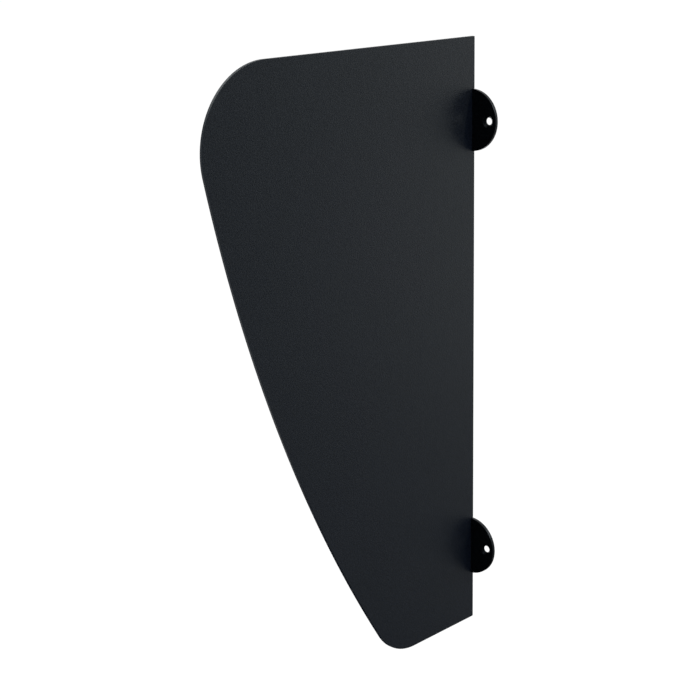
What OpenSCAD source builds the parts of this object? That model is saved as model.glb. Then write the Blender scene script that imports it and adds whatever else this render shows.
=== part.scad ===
// Urinal privacy screen: a sail-shaped steel sheet that stands out from a wall on two round
// flanges. Millimetres, +Z up. The wall is the plane Y = 0, with the wall itself on the +Y side
// and the sheet reaching towards -Y. The sheet's mid-plane is X = 0, and Z = 0 is its mid-height.

/* [Sheet] */
// Height of the wall edge
screen_h = 600; // [450:5:900]
// Reach from the wall to the foremost point of the front edge
screen_reach = 355; // [280:5:480]
// Thickness of the sheet
sheet_t = 3; // [2:0.5:6]
// Radius of the top front corner
top_r = 75; // [30:5:110]
// Radius of the long bowed front edge
front_r = 1500; // [1200:10:3000]
// Radius of the bottom front corner
bottom_r = 60; // [20:5:90]
// Length of the straight bottom edge, from the wall to the start of its round corner
bottom_len = 95; // [60:5:140]
// Radius of the two small corners at the wall
wall_corner_r = 1; // [0.5:0.5:8]

/* [Wall flanges] */
// Diameter of each round flange
flange_d = 60; // [55:1:100]
// Thickness of each flange
flange_t = 3.5; // [2.5:0.5:8]
// Distance from the end of the wall edge to the flange's centre
flange_inset = 80; // [55:5:150]
// Gap left between the flange's rim and each end of its notch in the sheet
notch_gap = 0.1; // [0.05:0.05:0.5]

/* [Screw holes] */
// Diameter of the screw hole
hole_d = 7; // [5.5:0.5:9]
// Distance between a flange's two screw holes, one on each side of the sheet
hole_pitch = 40; // [28:1:46]
// Diameter of the countersink at the flange's front face
sink_d = 12; // [9.5:0.5:13]
// Full angle of the countersink, in degrees
sink_angle = 90; // [80:5:120]

/* [Colours] */
// Colour of the coated sheet
sheet_colour = "#2b2e32";
// Colour of the coated flanges
flange_colour = "#1d1f22";

/* [Hidden] */

// Cuts run this far past the faces that they open
cut_over = 1;
// Facets of a full turn; the front edge is so large that it needs more
small_fn = 96;
front_fn = 1440;

top_z = screen_h / 2;
bottom_z = -screen_h / 2;
flange_z = screen_h / 2 - flange_inset;

// Centres of the two corner arcs, as [y, z] in the sheet's own plane
top_c = [top_r - screen_reach, top_z - top_r];
bottom_c = [-bottom_len, bottom_z + bottom_r];

// Where a circle of radius ra round a and one of radius rb round b meet, on the left of a to b
function circles_meet(a, ra, b, rb) =
    let (d = norm(b - a), along = (d * d + ra * ra - rb * rb) / (2 * d),
         aside = sqrt(ra * ra - along * along), u = (b - a) / d)
    a + along * u + aside * [-u[1], u[0]];

// Both corner arcs lie inside the front arc and touch it, so its centre lies front_r - top_r from
// the one's centre and front_r - bottom_r from the other's
front_c = circles_meet(top_c, front_r - top_r, bottom_c, front_r - bottom_r);
// Whole millimetres of that centre: so large a circle is placed in two steps, to keep its decimals
front_c_whole = [round(front_c[0]), round(front_c[1])];

// A point well outside the front arc, in line with its centre and a corner arc's centre: the two
// arcs touch on that line
function beyond_front(corner_c) =
    front_c + 1.1 * front_r * (corner_c - front_c) / norm(corner_c - front_c);

// Outline of the whole sheet in [y, z], before its notches: the front arc between the two lines
// where it touches the corner arcs, and the corners as whole discs
module sail_outline() {
    intersection() {
        translate(front_c_whole) translate(front_c - front_c_whole) circle(r = front_r, $fn = front_fn);
        polygon([[0, top_z], [top_c[0], top_z], top_c, beyond_front(top_c),
                 beyond_front(bottom_c), bottom_c, [bottom_c[0], bottom_z], [0, bottom_z]]);
    }
    translate(top_c) circle(r = top_r, $fn = small_fn);
    translate(bottom_c) circle(r = bottom_r, $fn = small_fn);
}

// What a small round takes off the square corner at [0, bottom_z]
module wall_corner_cut() {
    translate([-wall_corner_r, bottom_z]) difference() {
        translate([0, -cut_over]) square(wall_corner_r + cut_over);
        translate([0, wall_corner_r]) circle(r = wall_corner_r, $fn = small_fn);
    }
}

// The notch that one flange sits in, cut into the wall edge with its middle at z
module flange_notch(z) {
    notch_h = flange_d + 2 * notch_gap;
    translate([-flange_t, z - notch_h / 2]) square([flange_t + cut_over, notch_h]);
}

module screen_panel() {
    color(sheet_colour) rotate([90, 0, 90]) linear_extrude(sheet_t, center = true) difference() {
        sail_outline();
        wall_corner_cut();
        mirror([0, 1]) wall_corner_cut();
        flange_notch(flange_z);
        flange_notch(-flange_z);
    }
}

// A screw hole through a flange that stands on z = 0, with its countersink at the far face
module screw_hole() {
    slope = tan(sink_angle / 2);
    sink_deep = (sink_d - hole_d) / 2 / slope;
    translate([0, 0, -cut_over]) cylinder(d = hole_d, h = flange_t + 2 * cut_over, $fn = small_fn);
    translate([0, 0, flange_t - sink_deep])
        cylinder(d1 = hole_d, d2 = sink_d + 2 * cut_over * slope, h = sink_deep + cut_over, $fn = small_fn);
}

// One flange with its centre at height z: a disc with its back on the wall, square to the sheet,
// and a screw hole on each side of it
module wall_flange(z) {
    color(flange_colour) translate([0, 0, z]) rotate([90, 0, 0]) difference() {
        cylinder(d = flange_d, h = flange_t, $fn = small_fn);
        for (side = [-1, 1]) translate([side * hole_pitch / 2, 0, 0]) screw_hole();
    }
}
module upper_wall_flange() { wall_flange(flange_z); }
module lower_wall_flange() { wall_flange(-flange_z); }

screen_panel();
upper_wall_flange();
lower_wall_flange();
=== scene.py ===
import math

import bmesh
import bpy
import numpy as np
from mathutils import Matrix, Vector


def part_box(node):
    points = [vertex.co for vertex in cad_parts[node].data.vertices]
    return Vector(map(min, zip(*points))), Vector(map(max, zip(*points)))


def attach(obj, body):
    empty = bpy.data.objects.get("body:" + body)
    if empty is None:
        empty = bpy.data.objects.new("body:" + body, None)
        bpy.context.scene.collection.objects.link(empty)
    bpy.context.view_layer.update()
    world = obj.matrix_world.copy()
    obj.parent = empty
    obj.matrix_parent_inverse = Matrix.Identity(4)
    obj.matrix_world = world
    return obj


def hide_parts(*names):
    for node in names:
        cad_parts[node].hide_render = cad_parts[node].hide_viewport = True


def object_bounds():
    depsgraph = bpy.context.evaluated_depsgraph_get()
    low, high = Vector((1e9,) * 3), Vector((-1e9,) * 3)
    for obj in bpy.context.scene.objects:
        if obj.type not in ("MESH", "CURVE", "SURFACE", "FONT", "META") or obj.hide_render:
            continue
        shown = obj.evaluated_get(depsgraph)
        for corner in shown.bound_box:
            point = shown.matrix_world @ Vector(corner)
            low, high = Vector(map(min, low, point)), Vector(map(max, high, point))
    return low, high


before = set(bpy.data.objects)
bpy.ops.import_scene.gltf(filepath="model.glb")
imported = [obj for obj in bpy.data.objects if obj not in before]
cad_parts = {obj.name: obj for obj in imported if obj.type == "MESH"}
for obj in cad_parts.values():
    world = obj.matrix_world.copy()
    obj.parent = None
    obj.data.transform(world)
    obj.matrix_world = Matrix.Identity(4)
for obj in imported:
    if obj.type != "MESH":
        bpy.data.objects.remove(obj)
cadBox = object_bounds()
mm = 0.001
print("frame loaded, nodes:", ", ".join(sorted(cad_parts)))


# Camera, at the photograph's viewing angle

camera = {
    "place": (0.989, -1.244, 0.424),   # metres, on the sheet's +X side and in front of the wall
    "heading": 42.93,                  # degrees from straight at the wall, turned towards the sheet
    "pitch": 15.28,                    # degrees below the horizon
    "roll": 0.99,                      # degrees, so that the wall edge stands upright in the picture
    "lens": 84.1,                      # millimetres
    "sensor": 36,                      # millimetres across
    "clip": (0.01, 100),               # nearest and farthest that it shows, in metres
}


def makeCamera(setup):
    data = bpy.data.cameras.new("viewCamera")
    data.lens = setup["lens"]
    data.sensor_width = setup["sensor"]
    data.clip_start, data.clip_end = setup["clip"]
    made = bpy.data.objects.new("viewCamera", data)
    turn = Matrix.Rotation(math.radians(setup["heading"]), 4, "Z")
    tilt = Matrix.Rotation(math.radians(90 - setup["pitch"]), 4, "X")
    roll = Matrix.Rotation(-math.radians(setup["roll"]), 4, "Z")
    made.matrix_world = Matrix.Translation(setup["place"]) @ turn @ tilt @ roll
    bpy.context.scene.collection.objects.link(made)
    bpy.context.scene.camera = made


bpy.context.scene.view_settings.view_transform = "Standard"
makeCamera(camera)
print("camera placed")


# Small helpers for the meshes

mergeDistance = 0.002 * mm   # points closer together than this become one
sharpAngle = 35              # degrees between two faces, past which their edge is shaded sharp


# Corners of the quads of a grid with rows x cols points, as indices into its points; a grid
# closed along its rows has one more strip, from its last row back to its first
def gridQuads(rows, cols, closed=False):
    row = np.arange(rows if closed else rows - 1)[:, None]
    col = np.arange(cols - 1)[None, :]
    here, above = row * cols + col, (row + 1) % rows * cols + col
    return np.stack([here, above, above + 1, here + 1], axis=-1).reshape(-1, 4)


# A quarter round of radius 1 as [back from the side, down from the face]: the first point lies on
# the face, the last on the side
def quarterRound(steps):
    angle = np.linspace(0, math.pi / 2, steps + 1)
    return np.stack([1 - np.sin(angle), 1 - np.cos(angle)], axis=1)


# Points on a circle from one angle to another, in radians, both ends included
def arc(centre, radius, start, end, steps):
    angle = np.linspace(start, end, steps + 1)
    return np.asarray(centre) + radius * np.stack([np.cos(angle), np.sin(angle)], axis=1)


# Where a circle of radius ra round a meets one of radius rb round b, on the left of a to b
def circlesMeet(a, ra, b, rb):
    apart = np.linalg.norm(b - a)
    along = (apart**2 + ra**2 - rb**2) / (2 * apart)
    aside = math.sqrt(ra**2 - along**2)
    unit = (b - a) / apart
    return a + along * unit + aside * np.array([-unit[1], unit[0]])


# One mesh object from several patches, each with its points and its faces; points that coincide
# are merged and all faces are turned outwards
def meshFromPatches(name, patches):
    allPoints, allFaces, first = [], [], 0
    for points, faces in patches:
        allPoints += points.tolist()
        allFaces += (faces + first).tolist()
        first += len(points)
    mesh = bpy.data.meshes.new(name)
    mesh.from_pydata(allPoints, [], allFaces)
    work = bmesh.new()
    work.from_mesh(mesh)
    bmesh.ops.remove_doubles(work, verts=work.verts, dist=mergeDistance)
    bmesh.ops.dissolve_degenerate(work, edges=work.edges, dist=mergeDistance / 2)
    bmesh.ops.recalc_face_normals(work, faces=work.faces)
    work.to_mesh(mesh)
    work.free()
    mesh.shade_smooth()
    mesh.set_sharp_from_angle(angle=math.radians(sharpAngle))
    made = bpy.data.objects.new(name, mesh)
    bpy.context.scene.collection.objects.link(made)
    return made


# The sheet: a sail-shaped outline, with a small round where its cut edge meets each face

sheet = {
    "topRadius": 75 * mm,          # top front corner
    "frontRadius": 1500 * mm,      # long bowed front edge
    "bottomRadius": 60 * mm,       # bottom front corner
    "bottomLength": 95 * mm,       # straight bottom edge
    "wallCornerRadius": 1 * mm,    # the two corners at the wall
    "notchGap": 0.1 * mm,          # between a flange's rim and the ends of its notch
    "edgeRound": 0.25 * mm,        # how the coat rounds the cut edges
    "edgeBand": 0.3 * mm,          # narrow flat band inside the round, which keeps the face flat
    "cornerSteps": 72,             # pieces of a front corner
    "frontSteps": 120,             # pieces of the bowed edge
    "wallCornerSteps": 6,          # pieces of a corner at the wall
    "roundSteps": 5,               # pieces of the small round
}
sheetLow, sheetHigh = (np.array(corner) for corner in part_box("screen_panel"))
flangeBoxes = [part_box("upper_wall_flange"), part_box("lower_wall_flange")]


# The sheet's outline as [y, z], anticlockwise as seen from +X: along the bottom, up the wall edge
# with its two notches, back along the top, round the top corner, down the bowed edge and round the
# bottom corner. The bowed edge touches both corner arcs, so its centre lies its own radius less
# theirs from each of their centres, and they touch in line with the centres.
def sheetOutline(size, low, high):
    top, bottom, front, wall = high[2], low[2], low[1], high[1]
    topCentre = np.array([front + size["topRadius"], top - size["topRadius"]])
    bottomCentre = np.array([wall - size["bottomLength"], bottom + size["bottomRadius"]])
    frontCentre = circlesMeet(topCentre, size["frontRadius"] - size["topRadius"],
                              bottomCentre, size["frontRadius"] - size["bottomRadius"])
    topTouch, bottomTouch = (math.pi + math.atan2(*(frontCentre - centre)[::-1])
                             for centre in (topCentre, bottomCentre))
    small, smallSteps, quarter = size["wallCornerRadius"], size["wallCornerSteps"], math.pi / 2
    notches = []
    for flangeLow, flangeHigh in reversed(flangeBoxes):
        notchFloor = flangeLow[1]
        below, above = flangeLow[2] - size["notchGap"], flangeHigh[2] + size["notchGap"]
        notches.append([[wall, below], [notchFloor, below], [notchFloor, above], [wall, above]])
    return np.concatenate([
        arc([wall - small, bottom + small], small, -quarter, 0, smallSteps),
        *notches,
        arc([wall - small, top - small], small, 0, quarter, smallSteps),
        arc(topCentre, size["topRadius"], quarter, topTouch, size["cornerSteps"]),
        arc(frontCentre, size["frontRadius"], topTouch, bottomTouch, size["frontSteps"])[1:-1],
        arc(bottomCentre, size["bottomRadius"], bottomTouch, 3 * quarter, size["cornerSteps"]),
    ])


# For each point of a closed anticlockwise outline, the step that moves both of its edges outwards
# by one: the sum of their two normals over one plus the normals' product
def mitres(outline):
    edge = np.roll(outline, -1, axis=0) - outline
    edge /= np.linalg.norm(edge, axis=1, keepdims=True)
    after = np.stack([edge[:, 1], -edge[:, 0]], axis=1)
    before = np.roll(after, 1, axis=0)
    return (before + after) / (1 + np.sum(before * after, axis=1, keepdims=True))


# The sheet's skin: the profile across its thickness, as [in from the outline, x], is carried along
# the outline, and each of its two flat faces is one polygon inside the last band
def makeSheet(size, low, high):
    outline = sheetOutline(size, low, high)
    half = (high[0] - low[0]) / 2
    band = np.array([[size["edgeRound"] + size["edgeBand"], 0]])
    side = np.concatenate([band, quarterRound(size["roundSteps"]) * size["edgeRound"]])
    profile = np.concatenate([np.stack([side[:, 0], half - side[:, 1]], axis=1),
                              np.stack([side[::-1, 0], side[::-1, 1] - half], axis=1)])
    inPlane = outline[:, None, :] - mitres(outline)[:, None, :] * profile[None, :, :1]
    x = np.broadcast_to(profile[None, :, 1:], inPlane.shape[:2] + (1,))
    grid = np.concatenate([x, inPlane], axis=2)
    rows, cols = grid.shape[:2]
    around = np.arange(rows)[None, :]
    return meshFromPatches("coated_sheet", [
        (grid.reshape(-1, 3), gridQuads(rows, cols, closed=True)),
        (grid[:, 0], around),
        (grid[:, -1], around),
    ])


sheetPiece = makeSheet(sheet, sheetLow, sheetHigh)
print("sheet made,", len(sheetPiece.data.polygons), "faces")


# The wall flanges: discs with a countersunk screw hole on each side of the sheet

flange = {
    "holePitch": 40 * mm,      # between the two holes
    "holeDiameter": 7 * mm,
    "sinkDiameter": 12 * mm,   # countersink at the front face
    "sinkAngle": 90,           # full angle of the countersink, in degrees
    "rimRound": 0.25 * mm,     # how the coat rounds the disc's two edges
    "holeRound": 0.15 * mm,    # and the edges of the holes
    "band": 0.3 * mm,          # narrow flat band beside each round
    "sinkBand": 0.1 * mm,      # and on both sides of the line where the countersink meets the bore
    "arcSteps": 96,            # pieces of the half rim round one hole
    "seamSteps": 32,           # pieces of the line between the two halves
    "roundSteps": 4,           # pieces of each small round
}


# A hole's profile as [radius, y], from the rear face at y = 0 to the front face: a small round, the
# bore, the countersink and a round that turns through 90 degrees less the countersink's half angle
def holeProfile(size, thick):
    small, band = size["holeRound"], size["sinkBand"]
    sinkRadius, boreRadius = size["sinkDiameter"] / 2, size["holeDiameter"] / 2
    slope = math.tan(math.radians(size["sinkAngle"] / 2))
    sinkEnd = -thick + (sinkRadius - boreRadius) / slope
    turn = quarterRound(size["roundSteps"]) * small
    rear = np.stack([boreRadius + turn[:, 0], -turn[:, 1]], axis=1)
    middle = np.array([[boreRadius, sinkEnd + band], [boreRadius, sinkEnd],
                       [boreRadius + band * slope, sinkEnd - band]])
    sweep = math.radians(90 - size["sinkAngle"] / 2)
    angle = np.linspace(sweep, 0, size["roundSteps"] + 1)
    front = np.stack([sinkRadius + small * math.tan(sweep / 2) - small * np.sin(angle),
                      -thick + small * (1 - np.cos(angle))], axis=1)
    return np.concatenate([rear, middle, front])


# The rim's profile as [out from the edge of the flat face, y], from the front face to the rear face
def rimProfile(size, thick):
    rim = size["rimRound"]
    turn = quarterRound(size["roundSteps"]) * rim
    return np.concatenate([np.stack([rim - turn[:, 0], -thick + turn[:, 1]], axis=1),
                           np.stack([rim - turn[::-1, 0], -turn[::-1, 1]], axis=1)])


# A profile as [out, y], carried along points [x, z], each with its own direction outwards
def carryProfile(points, outwards, profile):
    plane = points[:, None, :] + outwards[:, None, :] * profile[None, :, :1]
    y = np.broadcast_to(profile[:, 1], plane.shape[:2])
    return np.stack([plane[..., 0], y, plane[..., 1]], axis=-1)


# A flat face at one y, between two closed loops with equal counts of points: a band beside each
# loop and two steps between the bands
def flatFace(inner, outer, band, y):
    way = outer - inner
    length = np.linalg.norm(way, axis=1, keepdims=True)
    share = [0 * length, band / length, 0.5 + 0 * length, 1 - band / length, 1 + 0 * length]
    plane = np.stack([inner + way * w for w in share], axis=1)
    return np.stack([plane[..., 0], np.full(plane.shape[:2], y), plane[..., 1]], axis=-1)


# Half a flange, on one side of the sheet (side is 1 or -1): boundary points run round half of the
# disc's rim and back along the sheet's plane, and each of them is joined to the point of the hole
# that faces it. Its four skins are the hole, the front face, the rear face and the rim.
def flangeHalf(size, centre, radius, thick, side):
    hole = np.array([side * size["holePitch"] / 2, 0])
    flat, quarter = radius - size["rimRound"], math.pi / 2
    rimPoints = arc([0, 0], flat, -quarter, quarter, size["arcSteps"]) * (side, 1)
    seamZ = np.linspace(flat, -flat, size["seamSteps"] + 1)[1:-1]
    boundary = np.concatenate([rimPoints, np.stack([0 * seamZ, seamZ], axis=1)])
    away = boundary - hole
    away /= np.linalg.norm(away, axis=1, keepdims=True)
    profile = holeProfile(size, thick)
    rearRadius, frontRadius = profile[0, 0], profile[-1, 0]
    skins = (
        (carryProfile(hole + 0 * away, away, profile), True),
        (flatFace(hole + away * frontRadius, boundary, size["band"], -thick), True),
        (flatFace(hole + away * rearRadius, boundary, size["band"], 0), True),
        (carryProfile(rimPoints, rimPoints / flat, rimProfile(size, thick)), False),
    )
    return [(skin.reshape(-1, 3) + centre, gridQuads(*skin.shape[:2], closed))
            for skin, closed in skins]


def makeFlange(name, size, box):
    low, high = (np.array(corner) for corner in box)
    radius, thick = (high[2] - low[2]) / 2, high[1] - low[1]
    middle = (sheetLow[0] + sheetHigh[0]) / 2
    centre = np.array([middle, high[1], (low[2] + high[2]) / 2])
    return meshFromPatches(name, flangeHalf(size, centre, radius, thick, -1)
                           + flangeHalf(size, centre, radius, thick, 1))


flangePieces = [makeFlange(name, flange, box)
                for name, box in zip(("coated_upper_flange", "coated_lower_flange"), flangeBoxes)]
print("flanges made,", len(flangePieces[0].data.polygons), "faces each")


# Helpers for the materials

# A new node with its settings; an input is linked where its value is another node's output, and
# otherwise set to the value
def addNode(tree, kind, inputs=None, **settings):
    node = tree.nodes.new(kind)
    for key, value in settings.items():
        setattr(node, key, value)
    for key, value in (inputs or {}).items():
        if isinstance(value, bpy.types.NodeSocket):
            tree.links.new(value, node.inputs[key])
        else:
            node.inputs[key].default_value = value
    return node


# A material or world with no nodes yet, and its node tree
def withEmptyTree(made):
    made.use_nodes = True
    made.node_tree.nodes.clear()
    return made, made.node_tree


# Fine-textured powder coat, as a group: grains of melted powder one or two millimetres across, a
# slower unevenness like orange peel, and cloudy changes of tone. It puts out the height of the
# surface, a mask of the grain from 0 to 1 and a mask of the clouds.
def makeCoatGroup():
    group = bpy.data.node_groups.new("powderCoatGrain", "ShaderNodeTree")
    sockets = group.interface
    sockets.new_socket("Place", in_out="INPUT", socket_type="NodeSocketVector")
    for name, value in (("Grain Size", 1.5 * mm), ("Peel Size", 12 * mm), ("Peel Share", 0.5),
                        ("Cloud Size", 90 * mm)):
        sockets.new_socket(name, in_out="INPUT", socket_type="NodeSocketFloat").default_value = value
    for name in ("Height", "Grain", "Clouds"):
        sockets.new_socket(name, in_out="OUTPUT", socket_type="NodeSocketFloat")
    given = addNode(group, "NodeGroupInput")

    def noise(size, detail, roughness):
        perMetre = addNode(group, "ShaderNodeMath", {0: 1.0, 1: given.outputs[size]},
                           operation="DIVIDE").outputs[0]
        return addNode(group, "ShaderNodeTexNoise", {
            "Vector": given.outputs["Place"], "Scale": perMetre,
            "Detail": detail, "Roughness": roughness}).outputs["Fac"]

    grain = noise("Grain Size", detail=1.0, roughness=0.6)
    peel = noise("Peel Size", detail=1.0, roughness=0.4)
    clouds = noise("Cloud Size", detail=2.0, roughness=0.5)
    peelPart = addNode(group, "ShaderNodeMath", {0: peel, 1: given.outputs["Peel Share"]},
                       operation="MULTIPLY").outputs[0]
    height = addNode(group, "ShaderNodeMath", {0: grain, 1: peelPart}, operation="ADD").outputs[0]
    # The grain's noise stays mostly between 0.3 and 0.7, which its mask stretches to 0 and 1
    mask = addNode(group, "ShaderNodeMapRange", {"Value": grain, "From Min": 0.3, "From Max": 0.7})
    addNode(group, "NodeGroupOutput", {"Height": height, "Grain": mask.outputs[0], "Clouds": clouds})
    return group


coatGroup = makeCoatGroup()


# A coat of paint: two close tones mixed by the grain and the clouds, where the grain gives a random
# speckle of tone that is also darker in its hollows, as painted shade of the grain, a roughness that
# changes with the grain, and the grain's height as a bump
def makeCoat(name, coat):
    material, tree = withEmptyTree(bpy.data.materials.new(name))
    place = addNode(tree, "ShaderNodeTexCoord").outputs["Object"]
    sizes = {key: coat[key] for key in ("Grain Size", "Peel Size", "Peel Share", "Cloud Size")}
    grain = addNode(tree, "ShaderNodeGroup", {"Place": place, **sizes}, node_tree=coatGroup)
    toneShare = addNode(tree, "ShaderNodeMix", {0: coat["cloudShare"], 2: grain.outputs["Grain"],
                                                3: grain.outputs["Clouds"]}).outputs[0]
    tone = addNode(tree, "ShaderNodeMix", {0: toneShare, 6: (*coat["darkTone"], 1),
                                           7: (*coat["paleTone"], 1)}, data_type="RGBA")
    lowest, highest = coat["roughness"]
    rough = addNode(tree, "ShaderNodeMapRange", {
        "Value": grain.outputs["Grain"], "To Min": lowest, "To Max": highest})
    bump = addNode(tree, "ShaderNodeBump", {
        "Height": grain.outputs["Height"], "Strength": coat["bump"], "Distance": coat["bumpDepth"]})
    paint = addNode(tree, "ShaderNodeBsdfPrincipled", {
        "Base Color": tone.outputs[2], "Roughness": rough.outputs[0], "Normal": bump.outputs[0],
        "Specular IOR Level": coat["specular"], "Specular Tint": (*coat["specularTint"], 1)})
    addNode(tree, "ShaderNodeOutputMaterial", {"Surface": paint.outputs[0]})
    return material


sheetCoat = {
    "Grain Size": 1.3 * mm,                 # width of one grain
    "Peel Size": 12 * mm,                   # width of the slow unevenness
    "Peel Share": 0.5,                      # its height, as a share of the grain's
    "Cloud Size": 90 * mm,                  # width of the changes of tone
    "cloudShare": 0.2,                      # how much of the tone they decide, and not the grain
    "darkTone": (0.0017, 0.0034, 0.0088),   # in the hollows, darker partly as painted shade of the grain
    "paleTone": (0.0085, 0.0119, 0.0204),   # on the grains
    "roughness": (0.31, 0.41),              # in the hollows and on the grains
    "bump": 1.0,
    "bumpDepth": 0.15 * mm,
    "specular": 0.2,
    "specularTint": (0.88, 0.99, 0.9),
}
# The flanges' coat is the sheet's paint with darker tones, which are painted shade for their faces,
# and it is a little coarser and cooler in its gloss
flangeCoat = {
    **sheetCoat,
    "Grain Size": 1.7 * mm,
    # Tones below the sheet's: painted shade on the flanges' faces
    "darkTone": (0.0003, 0.0005, 0.0009),
    "paleTone": (0.0016, 0.0021, 0.0032),
    "roughness": (0.28, 0.4),
    "specularTint": (0.78, 0.9, 1.0),
}
sheetPiece.data.materials.append(makeCoat("sheetCoat", sheetCoat))
flangePaint = makeCoat("flangeCoat", flangeCoat)
for piece in flangePieces:
    piece.data.materials.append(flangePaint)
print("coats mixed")


# Each piece stands for its node and rides on the part's one body

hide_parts("screen_panel")
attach(sheetPiece, "root")
for piece, node in zip(flangePieces, ("upper_wall_flange", "lower_wall_flange")):
    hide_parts(node)
    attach(piece, "root")
print("pieces tied to their nodes")


# Floor, backdrop and lights

studio = {
    "floorDrop": 0.5,     # metres from the sheet's bottom edge down to the floor
    "floorSize": 60,      # metres, so that it fills the picture up to the horizon
    "floorPale": 0.8,     # colour of the floor under the lamps
    "floorShown": 0.85,   # share of the floor that is plain white, whatever the lamps do
    "floorWhite": 1.1,    # strength of that white, so that the lit floor comes out white
    "worldLight": 0.8,    # strength of the world on the object
}
lamps = {
    # name: place, aimed at, width, height, watts
    "overheadSoftbox": ((-1.5, -0.6, 1.9), (0, -0.15, 0), 1.8, 1.8, 24),
    "wallSideSoftbox": ((0.9, 2.9, 0.8), (0, -0.1, 0.1), 1.2, 1.0, 5),
    "farKeyLight": ((4.5, 1.95, 3.6), (0, -0.05, 0.1), 0.25, 0.25, 540),
}
# Lamps that only show in the gloss, where this one gives the flanges a crisp shadow
glossOnly = ("farKeyLight",)
# Cards that only show in the gloss too, as a studio's flags do. The heading is in degrees from
# straight at the wall, turned towards +X. Each of the two level edges is given as metres out from
# the wall edge along the heading, and metres above the floor.
flags = {
    # name: heading, near edge, far edge, width, grey
    "greyFloorFlag": (41, (0.6, 0.01), (2.4, 0.01), 2.6, 0.4),        # shades the sheet's lower half
    "greySideFlag": (84, (2.2, 0.02), (2.2, 3.6), 3.4, 0.27),         # stands beside the object
    "darkFloorFlag": (130.5, (-0.6, 0.02), (2.8, 0.02), 1.4, 0.02),   # under object and camera
    "darkUprightFlag": (130.5, (2.8, 0.02), (2.8, 3.6), 4, 0.02),     # stands behind the camera
}
floorLevel = cadBox[0].z - studio["floorDrop"]
plainWhite = (1, 1, 1, 1)


# Is Camera Ray, Is Glossy Ray and Is Transmission Ray added together, 1 at most
def shownRays(tree):
    rays = addNode(tree, "ShaderNodeLightPath")
    two = addNode(tree, "ShaderNodeMath", {0: rays.outputs["Is Camera Ray"],
                                           1: rays.outputs["Is Glossy Ray"]}, operation="ADD")
    return addNode(tree, "ShaderNodeMath", {0: two.outputs[0], 1: rays.outputs["Is Transmission Ray"]},
                   operation="ADD", use_clamp=True).outputs[0]


# One flat quad of a material
def makeCard(name, corners, material):
    mesh = bpy.data.meshes.new(name)
    mesh.from_pydata(corners, [], [(0, 1, 2, 3)])
    mesh.materials.append(material)
    made = bpy.data.objects.new(name, mesh)
    bpy.context.scene.collection.objects.link(made)
    return made


def makeFloor(setup):
    material, tree = withEmptyTree(bpy.data.materials.new("paleFloor"))
    matt = addNode(tree, "ShaderNodeBsdfDiffuse", {"Color": (setup["floorPale"],) * 3 + (1,)})
    white = addNode(tree, "ShaderNodeEmission", {"Color": plainWhite, "Strength": setup["floorWhite"]})
    share = addNode(tree, "ShaderNodeMath", {0: shownRays(tree), 1: setup["floorShown"]},
                    operation="MULTIPLY")
    mixed = addNode(tree, "ShaderNodeMixShader", {0: share.outputs[0], 1: matt.outputs[0],
                                                  2: white.outputs[0]})
    addNode(tree, "ShaderNodeOutputMaterial", {"Surface": mixed.outputs[0]})
    half, z = setup["floorSize"] / 2, floorLevel
    makeCard("floor", [(-half, -half, z), (half, -half, z), (half, half, z), (-half, half, z)], material)


def makeWorld(setup):
    world, tree = withEmptyTree(bpy.data.worlds.new("studioWorld"))
    light = addNode(tree, "ShaderNodeBackground", {"Color": plainWhite, "Strength": setup["worldLight"]})
    white = addNode(tree, "ShaderNodeBackground", {"Color": plainWhite, "Strength": 1.0})
    mixed = addNode(tree, "ShaderNodeMixShader", {0: shownRays(tree), 1: light.outputs[0],
                                                  2: white.outputs[0]})
    addNode(tree, "ShaderNodeOutputWorld", {"Surface": mixed.outputs[0]})
    bpy.context.scene.world = world


def makeLamp(name, place, aim, width, height, watts):
    data = bpy.data.lights.new(name, "AREA")
    data.shape, data.size, data.size_y, data.energy = "RECTANGLE", width, height, watts
    made = bpy.data.objects.new(name, data)
    look = Vector(aim) - Vector(place)
    made.matrix_world = Matrix.Translation(place) @ look.to_track_quat("-Z", "Y").to_matrix().to_4x4()
    made.visible_camera = False
    made.visible_diffuse = name not in glossOnly
    bpy.context.scene.collection.objects.link(made)


def makeFlag(name, heading, near, far, width, grey):
    material, tree = withEmptyTree(bpy.data.materials.new(name + "Card"))
    matt = addNode(tree, "ShaderNodeBsdfDiffuse", {"Color": (grey,) * 3 + (1,)})
    addNode(tree, "ShaderNodeOutputMaterial", {"Surface": matt.outputs[0]})
    turn = math.radians(heading)
    along = np.array([math.sin(turn), math.cos(turn), 0])
    across = np.array([along[1], -along[0], 0]) * width / 2
    corners = [(along * out + across * side + (0, 0, floorLevel + up)).tolist()
               for (out, up), side in ((near, -1), (near, 1), (far, 1), (far, -1))]
    made = makeCard(name, corners, material)
    made.visible_camera = made.visible_diffuse = made.visible_shadow = False


makeWorld(studio)
makeFloor(studio)
for name, given in flags.items():
    makeFlag(name, *given)
for name, given in lamps.items():
    makeLamp(name, *given)
print("studio lit")
